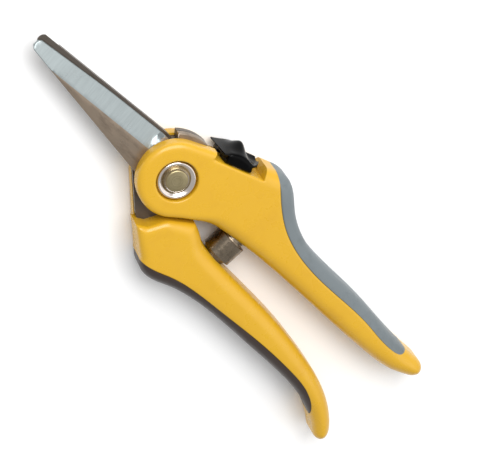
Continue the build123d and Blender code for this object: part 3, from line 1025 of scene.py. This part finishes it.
@dataclass
class UpperHandle(Handle):
    """The handle with the front cheek and the lock's recess, and the grip along its back."""

    reach: float = 125.3
    palm_border: Sequence[Pair] = ((-19.5, -28.0), (-25.6, -24.6), (-32.0, -19.9), (-42.3, -13.9))
    tail_border: Sequence[Pair] = (
        (0.09, -11.0), (0.24, -10.3), (0.58, -11.2), (0.78, -10.8), (0.835, -12.2), (0.845, -18.0),
    )
    tail_corner: Pair = (0.8, -32.0)
    palm_corner: Pair = (-20.0, -34.0)
    neck_angle: float = 131.0
    line_end: Pair = (-20.4, -24.2)
    bore_radius: float = 4.0
    edge: Rounding = Rounding(5.2, 4.6, 2.4, 1.9, (-12.0, -24.0))
    crisp: Rounding = Rounding(0.9, 0.7)
    well_edge: Rounding = Rounding(0.7, 0.6)
    tongue: Pair = (14.8, 17.8)
    tongue_depth: float = 7.0
    tongue_gap: float = 0.3
    foot_top: float = 9.0
    foot_length: float = 3.0
    lock_travel: Pair = (2.0, 3.0)
    ahead: Sequence[Pair] = ((30.0, -30.0), (30.0, 30.0), (-8.4, 11.5), (-13.0, 9.6), (-12.4, 6.2))
    palm_outer: Sequence[Pair] = (
        (-24.5, -25.9), (-28.8, -26.8), (-34.0, -25.1), (-40.2, -20.8), (-46.5, -17.6),
    )
    tail_run: Sequence[Pair] = (
        (0.10, -15.5), (0.24, -14.8), (0.50, -15.2), (0.90, -14.7), (0.957, -14.8), (0.988, -13.7),
        (1.0, -11.5), (0.988, -9.4), (0.952, -7.6), (0.87, -5.1), (0.75, -3.6), (0.37, -2.0),
    )
    palm_inner: Sequence[Pair] = (
        (-35.0, 0.4), (-27.0, 1.5), (-21.0, 2.9), (-16.4, 5.1), (-12.5, 7.4), (-10.6, 8.8),
    )

    def outline(self) -> np.ndarray:
        """Draws the head's arc, a straight run beside the lock, and one spline round the tail.

        Returns:
            The closed plan outline.
        """
        radius = LAYERS.head_radius
        line_angle = math.degrees(
            math.atan2(self.line_end[1], self.line_end[0]) + math.acos(radius / math.hypot(*self.line_end))
        )
        head = arc(radius, self.neck_angle, line_angle)
        side = dense([tuple(head[-1]), self.line_end])
        run = spline(
            [self.line_end, *self.palm_outer, *self.tail(self.tail_run), *self.palm_inner, tuple(head[0])]
        )
        return closed(np.vstack([head, side[1:], run[1:-1]]))

    def tongue_slot(self) -> np.ndarray:
        """Draws the slot that the lock's tongue and its foot slide in.

        Returns:
            Its closed plan loop.
        """
        front = self.tongue[0] - self.lock_travel[1] - self.tongue_gap
        rear = self.tongue[1] + self.lock_travel[0] + self.tongue_gap
        floor = LOCK_AXES.floor + 1.0
        return LOCK_AXES.loop(
            [
                (front, floor),
                (rear, floor),
                (rear, self.foot_top + self.tongue_gap),
                (rear + self.foot_length, self.foot_top + self.tongue_gap),
                (rear + self.foot_length, self.tongue_depth - self.tongue_gap),
                (front, self.tongue_depth - self.tongue_gap),
            ]
        )

    def build(self, nylon: bpy.types.Material, rubber: bpy.types.Material) -> None:
        """Builds the handle in layers round its pockets, and the grip.

        Args:
            nylon: the handle's material.
            rubber: the grip's material.
        """
        outline = self.outline()
        border, band = self.band()
        lock = LOCK_AXES
        beyond = 2 * lock.floor
        notch = lock.loop(
            [(lock.start, lock.floor), (lock.end, lock.floor), (lock.end, beyond), (lock.start, beyond)]
        )
        # nothing of the handle lies behind the blades forward of the recess
        recess = [lock.point(lock.start, lock.floor - 0.3), lock.point(lock.start, beyond)]
        clear = closed(dense([(0.0, 0.0), *recess, *self.ahead]))
        slot = self.tongue_slot()
        head_clear = circle(LAYERS.rear_head_radius + LAYERS.clearance)
        heel_clear = circle(LAYERS.heel_radius + LAYERS.clearance)
        bore, well = circle(self.bore_radius), circle(LAYERS.well_radius)

        def solid(points: np.ndarray) -> np.ndarray:
            """Inside the outline, clear of the recess and of the grip."""
            return within(points, outline) & ~within(points, notch) & ~within(points, band)

        def behind(points: np.ndarray) -> np.ndarray:
            """The part that reaches behind the blades."""
            return solid(points) & ~within(points, clear) & ~within(points, head_clear)

        rim = Edge(outline, self.edge)
        cuts = [Edge(notch, self.crisp), Edge(border, self.seam)]
        plain = [Edge(outline), Edge(notch), Edge(border), Edge(clear), Edge(head_clear)]
        heel_bottom, heel_top = LAYERS.heel_room
        front_bottom = LAYERS.upper_blade_top
        shells = [
            slab([rim, *cuts, Edge(clear), Edge(head_clear)], behind, 0.0, heel_bottom, soft_bottom=True),
            slab(
                [*plain, Edge(heel_clear), Edge(slot)],
                lambda p: behind(p) & ~within(p, heel_clear) & ~within(p, slot),
                heel_bottom,
                heel_top,
                spacing=3.0,
            ),
            slab(plain, behind, heel_top, front_bottom, spacing=3.0),
            slab(
                [rim, *cuts, Edge(well, self.well_edge)],
                lambda p: solid(p) & ~within(p, well),
                front_bottom,
                LAYERS.thickness,
                soft_top=True,
            ),
            slab(
                [Edge(well), Edge(bore)],
                lambda p: within(p, well) & ~within(p, bore),
                front_bottom,
                LAYERS.thickness - LAYERS.well_depth,
            ),
        ]
        handle = make_piece("upper_handle_moulding", Shell.joined(shells), [nylon])
        settle(handle, Body.UPPER, "yellow_nylon", "upper_handle")
        settle(self.grip("upper_grip_pad", outline, rubber), Body.UPPER, "grey_grip", "upper_grip")


@dataclass
class LowerHandle(Handle):
    """The handle with the hooked end and the rear cheek, and the grip along its back."""

    reach: float = 118.9
    palm_border: Sequence[Pair] = ((-9.0, 29.0), (-13.3, 28.0), (-18.0, 27.2), (-25.0, 24.9), (-34.0, 22.9))
    tail_border: Sequence[Pair] = (
        (0.02, 21.6), (0.23, 20.4), (0.55, 20.0), (0.70, 21.4), (0.80, 25.0), (0.88, 31.5),
    )
    tail_corner: Pair = (0.8, 38.0)
    palm_corner: Pair = (-12.0, 38.0)
    corner: Pair = (-12.5, 27.2)
    web_angle: float = 141.0
    rear_web: Sequence[Pair] = ((-11.8, 9.8), (-14.5, 8.0))
    front_web: Sequence[Pair] = ((-7.5, 14.4), (-9.1, 11.9), (-11.4, 10.2), (-14.6, 8.0))
    nose: Pair = (-17.6, 6.2)
    step_top: Pair = (-1.9, 20.1)
    step_corner: Pair = (-5.6, 17.9)
    nut_well_radius: float = 6.8
    nut_well_depth: float = 4.1
    bush_hole: float = 5.25
    edge: Rounding = Rounding(5.2, 4.6, 2.4, 1.9, (-6.0, -26.0))
    crisp: Rounding = Rounding(0.6, 0.5)
    palm_inner: Sequence[Pair] = ((-21.2, 7.4), (-25.5, 9.4), (-31.0, 10.3), (-40.0, 10.6))
    tail_run: Sequence[Pair] = (
        (0.14, 10.8), (0.33, 11.4), (0.52, 13.0), (0.69, 15.2), (0.84, 19.0), (0.94, 23.4),
        (0.986, 26.6), (1.0, 29.2), (0.988, 31.26), (0.957, 31.86), (0.91, 30.2), (0.80, 26.3),
        (0.68, 24.3), (0.52, 23.6), (0.28, 24.0), (0.03, 24.6),
    )
    palm_outer: Sequence[Pair] = ((-35.7, 26.2), (-28.9, 28.0), (-22.8, 30.2), (-18.2, 30.7), (-14.6, 29.3))

    def run(self) -> np.ndarray:
        """Draws one spline from the web along the fingers' side, round the hook and back.

        Returns:
            The open curve.
        """
        return spline(
            [self.nose, *self.palm_inner, *self.tail(self.tail_run), *self.palm_outer, self.corner]
        )

    def rear_outline(self) -> np.ndarray:
        """Draws the layer behind the blades, with the round cheek.

        Returns:
            Its closed outline.
        """
        radius = LAYERS.rear_head_radius
        start = math.degrees(
            math.atan2(self.corner[1], self.corner[0]) - math.acos(radius / math.hypot(*self.corner))
        )
        cheek = arc(radius, start, self.web_angle - 360)
        web = dense([tuple(cheek[-1]), *self.rear_web, self.nose])
        side = dense([self.corner, tuple(cheek[0])])
        return closed(np.vstack([cheek, web[1:], self.run()[1:], side[1:-1]]))

    def front_outline(self) -> np.ndarray:
        """Draws the layer beside the blades, with its step.

        Returns:
            Its closed outline.
        """
        step = dense([self.corner, self.step_top, self.step_corner])
        web = spline([self.step_corner, *self.front_web, self.nose])
        return closed(np.vstack([self.run(), step[1:], web[1:-1]]))


    def build(self, nylon: bpy.types.Material, rubber: bpy.types.Material) -> None:
        """Builds the handle in layers round its wells, and the grip.

        Args:
            nylon: the handle's material.
            rubber: the grip's material.
        """
        rear, front = self.rear_outline(), self.front_outline()
        border, band = self.band()
        nut_well, bush = circle(self.nut_well_radius), circle(self.bush_hole)
        middle = LAYERS.lower_blade_bottom

        shells = [
            slab(
                [Edge(rear, self.edge), Edge(border, self.seam), Edge(nut_well, self.crisp)],
                lambda p: within(p, rear) & ~within(p, band) & ~within(p, nut_well),
                0.0,
                self.nut_well_depth,
                soft_bottom=True,
            ),
            slab(
                [Edge(rear), Edge(border), Edge(bush)],
                lambda p: within(p, rear) & ~within(p, band) & ~within(p, bush),
                self.nut_well_depth,
                middle,
                spacing=3.0,
            ),
            slab(
                [Edge(front, self.edge), Edge(border, self.seam)],
                lambda p: within(p, front) & ~within(p, band),
                middle,
                LAYERS.thickness,
                soft_top=True,
            ),
        ]
        handle = make_piece("lower_handle_moulding", Shell.joined(shells), [nylon])
        settle(handle, Body.LOWER, "yellow_nylon", "lower_handle")

        # the lower grip gets the grey rubber painted dark brown-black as painted shade
        settle(self.grip("lower_grip_pad", front, rubber), Body.LOWER, "dark_grip", "lower_grip")


@dataclass
class FrontBlade:
    """The blade with the ground bevel, its round plate and its heel."""

    reach: float = 66.6
    root: float = 11.3
    plate_radius: float = 12.6
    hole_radius: float = 4.0
    hump: Pair = (-47.0, -90.0)
    bevel_start: Pair = (13.5, -0.5)
    bevel_slope: float = 0.09
    bevel_fall: float = 0.35
    bevel_lead: float = 0.6
    least_edge: float = 0.1
    shoulder: float = 1.6
    edge: Rounding = Rounding(0.3, 0.22)

    def strip(self) -> np.ndarray:
        """Draws the blade forward of the pivot: a straight spine, a blunt tip and a curved edge.

        Returns:
            Its closed plan loop.
        """
        r = self.reach
        tip = (0.987 * r, -1.1)
        spine = dense([(0.0, 8.0), (self.root, 8.1), (0.985 * r, 2.7), (r, 1.8), (r, -0.2), tip])
        edge = spline([tip, (0.74 * r, -3.3), (0.54 * r, -5.0), (0.3 * r, -6.6), (self.root, -7.5)])
        return closed(np.vstack([spine, edge[1:], dense([(self.root, -7.5), (0.0, -8.0)])[1:]]))

    def below_bevel(self, points: np.ndarray) -> np.ndarray:
        """How far each plan point lies below the bevel's upper line."""
        away = self.bevel_start[1] + self.bevel_slope * (points[:, 0] - self.bevel_start[0]) - points[:, 1]
        return away / math.hypot(1, self.bevel_slope)

    def bevel(self, points: np.ndarray) -> np.ndarray:
        """The bevel's fall: its slope times the distance below its line, eased in over the shoulder.

        Args:
            points: the plan points.

        Returns:
            The fall at each point.
        """
        share = faded(
            np.clip((points[:, 0] - self.bevel_start[0] + self.shoulder / 2) / self.shoulder, 0, 1)
        )
        depth = np.clip(self.below_bevel(points), 0, None) * self.bevel_fall * share
        return np.minimum(depth, LAYERS.blade - self.least_edge)

    def build(self, flat: bpy.types.Material, bevel: bpy.types.Material) -> None:
        """Builds the blade.

        Args:
            flat: the material of its flats.
            bevel: the material of its bevel.
        """
        strip, plate, hole = self.strip(), circle(self.plate_radius), circle(self.hole_radius)
        heel = closed(np.vstack([arc(LAYERS.heel_radius, *self.hump), [[0.0, 0.0]]]))
        start_x, start_y = self.bevel_start
        line = dense([self.bevel_start, (self.reach, start_y + self.bevel_slope * (self.reach - start_x))])

        def solid(points: np.ndarray) -> np.ndarray:
            """Inside the strip, the plate or the heel, and outside the bolt's hole."""
            whole = within(points, strip) | within(points, plate) | within(points, heel)
            return whole & ~within(points, hole)


        shell = slab(
            [Edge(strip, self.edge), Edge(plate), Edge(heel, self.edge), Edge(hole), Edge(line)],
            solid,
            LAYERS.upper_blade_bottom,
            LAYERS.upper_blade_top,
            soft_top=True,
            spacing=1.2,
            carve=self.bevel,
        )
        middles = np.array([shell.points[list(face)].mean(axis=0) for face in shell.faces])

        on_bevel = (self.below_bevel(middles) > 0) & (middles[:, 0] > start_x - self.bevel_lead)

        on_bevel &= middles[:, 2] > LAYERS.upper_blade_bottom + 0.01
        blade = make_piece("front_blade", shell, [flat, bevel], on_bevel)
        settle(blade, Body.UPPER, "blade_steel", "upper_blade")


@dataclass
class PivotFace:
    """The dished chrome washer and the bolt in the middle of it.

    The cup's profile is given as radius and height over the well's floor, and the head's as
    radius and depth under its top.
    """

    cup_lift: float = 0.02
    cup_profile: Sequence[Pair] = (
        (3.0, 0.8), (4.1, 0.8), (4.45, 0.9), (4.85, 1.22), (5.35, 1.55), (5.85, 1.82), (6.25, 1.84),
        (6.6, 1.6), (6.78, 1.2),
    )
    head_top: float = 15.7
    head_lift: float = 0.8
    head_profile: Sequence[Pair] = (
        (0.0, 0.02), (1.2, 0.02), (3.35, 0.04), (3.6, 0.1), (3.8, 0.22), (3.91, 0.4), (3.95, 0.6),
    )
    bolt_radius: float = 3.0
    bolt_chamfer: float = 0.4

    def build(self, chrome: bpy.types.Material, zinc: bpy.types.Material) -> None:
        """Builds the washer and the bolt as profiles turned about the pivot axis.

        Args:
            chrome: the washer's material.
            zinc: the bolt's material.
        """
        floor = LAYERS.thickness - LAYERS.well_depth
        top = spline([(radius, floor + height) for radius, height in self.cup_profile], step=0.1)
        under = [(self.cup_profile[-1][0], floor + self.cup_lift), (self.bolt_radius, floor + self.cup_lift)]
        cup = make_piece("chrome_cup", revolved(np.vstack([top, under])[::-1]), [chrome])
        settle(cup, Body.UPPER, "bright_chrome", "pivot_cup")
        head_bottom = floor + self.head_lift
        head = [(radius, self.head_top - depth) for radius, depth in self.head_profile]
        shank = [
            (self.head_profile[-1][0], head_bottom),
            (self.bolt_radius, head_bottom),
            (self.bolt_radius, self.bolt_chamfer),
            (self.bolt_radius - self.bolt_chamfer, 0.0),
            (0.0, 0.0),
        ]
        bolt = make_piece("pivot_bolt_turned", revolved(np.array([*head, *shank])[::-1]), [zinc])
        settle(bolt, Body.UPPER, "bolt_steel", "pivot_bolt")


@dataclass
class LockSlide:
    """The black thumb slide with its wave-shaped pad.

    The crest, the dome, the toe and the spoon at the rear are all on the lock's own axes.
    """

    gap: float = 0.3
    front: float = 11.4
    rear: float = 22.4
    pad_front: float = 8.8
    pad_rear: float = 24.9
    pad_width: float = 15.0
    pad_level: float = 14.6
    waist: float = 13.6
    forward: float = 3.0
    crest: Sequence[Pair] = (
        (8.8, 15.0), (12.6, 15.9), (16.6, 17.0), (20.2, 15.8), (22.2, 15.2), (24.9, 16.1),
    )
    crest_at: float = 16.6
    dome: float = 3.0
    dome_length: float = 2.6
    dome_breadth: float = 0.6
    dome_sink: float = 0.25
    dish: float = 0.9
    dish_lead: float = 3.2
    dish_run: float = 2.0
    skin_below: float = 0.6
    skin_run: float = 1.4
    toe_end: float = 12.8
    toe_sweep: float = 2.6
    toe_drop: float = 0.15
    toe_power: float = 1.5
    heel_start: float = 20.4
    heel_blunt: float = 0.3
    drawn_below: float = 1.0
    drawn_run: float = 1.2
    edge: Rounding = Rounding(1.3, 1.0)

    def crowned(self, points: np.ndarray) -> np.ndarray:
        """Raises the pad into a dome at its crest and sinks it into a thumb dish at its rear.

        The rise along h is the dome's height times a bell curve along s times a narrower bell
        across the width, less the dish's depth times a parabola across the width behind the
        crest. The toe is swept rearwards in proportion to the level, so that it points to the
        back. The rear end is drawn in across the width along a quarter of an ellipse.

        Args:
            points: the slide's points.

        Returns:
            The points moved.
        """
        s, h = points[:, :2] @ LOCK_AXES.rearward, points[:, :2] @ LOCK_AXES.outward
        across = (points[:, 2] - LAYERS.thickness / 2) / (self.pad_width / 2)
        skin = np.clip((h - self.pad_level + self.skin_below) / self.skin_run, 0, 1)
        bell = np.exp(-((across / self.dome_breadth) ** 2)) - self.dome_sink
        dome = self.dome * np.exp(-(((s - self.crest_at) / self.dome_length) ** 2)) * bell
        behind = np.clip((s - self.crest_at - self.dish_lead) / self.dish_run, 0, 1)
        dish = self.dish * behind * (1 - across**2)
        toe = np.clip((self.toe_end - s) / (self.toe_end - self.pad_front), 0, 1)
        sweep = self.toe_sweep * toe * np.clip(points[:, 2] / LAYERS.thickness, 0, 1) ** self.toe_power
        rise = skin * (dome - dish - self.toe_drop * sweep)
        moved = points.copy()
        moved[:, :2] += LOCK_AXES.outward * rise[:, None] + LOCK_AXES.rearward * sweep[:, None]
        heel = np.clip((s - self.heel_start) / (self.pad_rear + self.heel_blunt - self.heel_start), 0, 1)
        level = np.clip((h - self.waist + self.drawn_below) / self.drawn_run, 0, 1)
        drawn = level * (1 - np.sqrt(1 - heel**2))
        moved[:, 2] += (LAYERS.thickness / 2 - points[:, 2]) * drawn
        return moved

    def build(self, acetal: bpy.types.Material) -> None:
        """Builds the slide from its side profile, with soft edges front and back.

        Args:
            acetal: its material.
        """
        axes = LOCK_AXES
        floor = axes.floor + self.gap
        crest = spline([axes.point(s, h) for s, h in self.crest])
        under = [
            (self.pad_rear, 14.4),
            (self.rear, 13.8),
            (self.rear, floor),
            (self.front, floor),
            (self.front, self.pad_level),
            (self.pad_front, self.pad_level),
        ]
        loop = closed(np.vstack([crest, dense([axes.point(s, h) for s, h in under])]))
        low = LAYERS.thickness / 2 - self.pad_width / 2
        high = LAYERS.thickness / 2 + self.pad_width / 2
        waist = dense([axes.point(self.pad_front, self.waist), axes.point(self.pad_rear, self.waist)])
        # the heel's path when the slide is fully forward
        path = circle(LAYERS.heel_radius + LAYERS.clearance, axes.point(self.forward, 0.0))
        path_bottom, path_top = LAYERS.heel_room

        def pad(points: np.ndarray) -> np.ndarray:
            """The part of the profile beyond the waist."""
            return within(points, loop) & (points @ axes.outward > self.waist)

        def block(points: np.ndarray) -> np.ndarray:
            """The part of the profile below the waist."""
            return within(points, loop) & ~(points @ axes.outward > self.waist)

        edges = [Edge(loop, self.edge), Edge(waist)]
        plain = [Edge(loop), Edge(waist), Edge(path)]
        shell = Shell.joined(
            [
                slab(edges, pad, low, high, soft_bottom=True, soft_top=True, spacing=0.7, rows=16),
                slab(edges, block, low, path_bottom, soft_bottom=True, spacing=0.9),
                slab(plain, lambda p: block(p) & ~within(p, path), path_bottom, path_top),
                slab(edges, block, path_top, high, soft_top=True, spacing=0.9),
            ]
        )
        shell.points = self.crowned(shell.points)
        slide = make_piece("thumb_slide", shell, [acetal])
        settle(slide, Body.LOCK, "black_lock", "lock_slider")


@dataclass
class VoluteSpring:
    """A steel strip wound like a scroll, whose inner turns stand out further at both ends."""

    x: float = -33.7
    level: float = 8.0
    start: float = -0.9
    end: float = 11.7
    far_seat: float = 10.7
    widest: float = 6.15
    narrowest: float = 2.6
    turns: float = 3.6
    full_turns: float = 0.5
    barrel_turns: float = 1.0
    strip: float = 0.6
    soft: float = 0.12
    barrel: float = 7.4
    samples: int = 80

    def build(self, steel: bpy.types.Material) -> None:
        """Builds the strip along a spiral, its width shrinking to the barrel's length in the outer turn.

        Args:
            steel: its material.
        """
        t = np.linspace(0, 1, int(self.samples * self.turns) + 1)
        angle = 2 * math.pi * self.turns * t
        radius = self.narrowest + (self.widest - self.narrowest - self.strip) * t + self.strip / 2
        full = self.end - self.start
        shrinking = self.turns - (self.full_turns + self.barrel_turns)
        length = full + (self.barrel - full) * np.clip((t * self.turns - self.full_turns) / shrinking, 0, 1)
        middle = (self.start + self.end) / 2
        across = np.stack([np.cos(angle), np.zeros_like(angle), np.sin(angle)], axis=1)
        path = np.array([self.x, middle, self.level]) + radius[:, None] * across
        along = np.tile([0.0, 1.0, 0.0], (len(t), 1))
        half, soft, lip = self.strip / 2, self.soft, 0.5 - self.soft / 6
        near = [(-half, -lip), (-half + soft, -0.5), (half - soft, -0.5), (half, -lip)]
        far = [(half, lip), (half - soft, 0.5), (-half + soft, 0.5), (-half, lip)]
        section = np.array([*near, *far])
        spring = make_piece("volute_spring_strip", swept(path, across, along, section, length), [steel])
        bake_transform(spring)
        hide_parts("volute_spring")


@dataclass
class Hardware:
    """The CAD nodes that stay as they are and only get a better finish."""

    plated: Sequence[str] = (
        "pivot_nut", "pivot_sleeve", "nut_washer", "upper_spring_stud", "lower_spring_stud", "lock_tongue"
    )
    brass: Sequence[str] = ("cheek_bush", "centre_washer")
    sprung: Sequence[str] = ("disc_spring", "lock_detent_spring")

    def dress(
        self,
        plating: bpy.types.Material,
        brass: bpy.types.Material,
        strip: bpy.types.Material,
        rear: bpy.types.Material,
    ) -> None:
        """Puts the finishes on the nodes' slots.

        Args:
            plating: the material of the nut, washers, sleeve, studs and tongue.
            brass: the material of the bush and the centre washer.
            strip: the material of the small springs.
            rear: the material of the rear blade.
        """
        chosen = {name: plating for name in self.plated}
        chosen.update({name: brass for name in self.brass})
        chosen.update({name: strip for name in self.sprung})
        # the rear blade gets the steel with painted shade
        chosen["lower_blade"] = rear
        for name, material in chosen.items():
            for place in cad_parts[name].material_slots:
                place.material = material
        log.info("finished %d CAD nodes", len(chosen))


@dataclass
class Studio:
    """A pale floor, soft lights and the camera."""

    floor_size: float = 4.0
    floor_drop: float = 0.0006
    aim: tuple[float, float, float] = (-0.03, 0.0, 0.008)
    key_power: float = 4.6
    key_size: float = 0.5
    side_power: float = 1.35
    side_size: float = 0.7
    sky: float = 0.56
    position: tuple[float, float, float] = (267.91, -62.98, 551.46)
    right: tuple[float, float, float] = (-0.6222, -0.7366, 0.2650)
    up: tuple[float, float, float] = (0.6146, -0.6693, -0.4174)
    back: tuple[float, float, float] = (0.4848, -0.0968, 0.8692)
    lens: float = 135.0

    def light(self, name: str, power: float, size: float, at: Vector) -> None:
        """Adds a square soft light that faces the tool.

        Args:
            name: the light's name.
            power: its power in watts.
            size: its side in metres.
            at: its place in metres.
        """
        data = bpy.data.lights.new(name, "AREA")
        data.energy = power
        data.size = size
        lamp = bpy.data.objects.new(name, data)
        lamp.location = at
        lamp.rotation_euler = (Vector(self.aim) - at).to_track_quat("-Z", "Y").to_euler()
        bpy.context.scene.collection.objects.link(lamp)

    def floor(self) -> None:
        """Lays a large sheet of white paper just under the tool."""
        half = self.floor_size / 2
        corners = [(-half, -half), (half, -half), (half, half), (-half, half)]
        mesh = bpy.data.meshes.new("floor")
        mesh.from_pydata([(x, y, -self.floor_drop) for x, y in corners], [], [(0, 1, 2, 3)])
        paper = bpy.data.materials.new("white_backing_paper")
        paper.use_nodes = True
        paper.node_tree.nodes.clear()
        add = partial(add_node, paper.node_tree)
        shader = add("BsdfPrincipled", {"Base Color": linear("#FAFAFA"), "Roughness": 0.9})
        add("OutputMaterial", {"Surface": shader.outputs[0]})
        mesh.materials.append(paper)
        sheet = bpy.data.objects.new("floor", mesh)
        bpy.context.scene.collection.objects.link(sheet)

    def build(self) -> None:
        """Builds the floor, the lights and the camera."""
        scene = bpy.context.scene
        self.floor()
        world = bpy.data.worlds.new("studio")
        world.use_nodes = True
        background = world.node_tree.nodes["Background"]
        background.inputs["Color"].default_value = (1.0, 1.0, 1.0, 1.0)
        background.inputs["Strength"].default_value = self.sky
        scene.world = world
        scene.view_settings.view_transform = "Standard"
        # the key light hangs beyond the top of the view and the wide side light to its right
        above, beside = Vector((0.0, 0.0, 0.75)), Vector((0.0, 0.0, 0.4))
        self.light("key", self.key_power, self.key_size, Vector(self.up) * 0.45 + above)
        self.light("side", self.side_power, self.side_size, Vector(self.right) * 0.55 + beside)
        data = bpy.data.cameras.new("camera")
        data.lens = self.lens
        camera = bpy.data.objects.new("camera", data)
        columns = Matrix((self.right, self.up, self.back)).transposed()
        camera.matrix_world = Matrix.Translation(Vector(self.position) * MM) @ columns.to_4x4()
        scene.collection.objects.link(camera)
        scene.camera = camera


def main() -> None:
    """Builds and dresses each sub-assembly in order."""
    logging.basicConfig(level=logging.INFO, format="%(name)s %(message)s")
    nylon = YELLOW_NYLON.build()
    UpperHandle().build(nylon, GREY_RUBBER.build())
    # the lower grip's rubber is the grey rubber with painted shade
    LowerHandle().build(nylon, GREY_RUBBER_PAINTED_SHADE.build())
    FrontBlade().build(BLADE_FLAT.build(), BLADE_BEVEL.build())
    PivotFace().build(CUP_CHROME.build(), BOLT_ZINC.build())
    LockSlide().build(BLACK_ACETAL.build())
    strip = SPRING_STRIP.build()
    VoluteSpring().build(strip)
    # the rear blade's steel is painted darker as painted shade
    Hardware().dress(PLATED_STEEL.build(), TURNED_BRASS.build(), strip, BLADE_STEEL_PAINTED_SHADE.build())
    Studio().build()


if __name__ == "__main__":
    main()
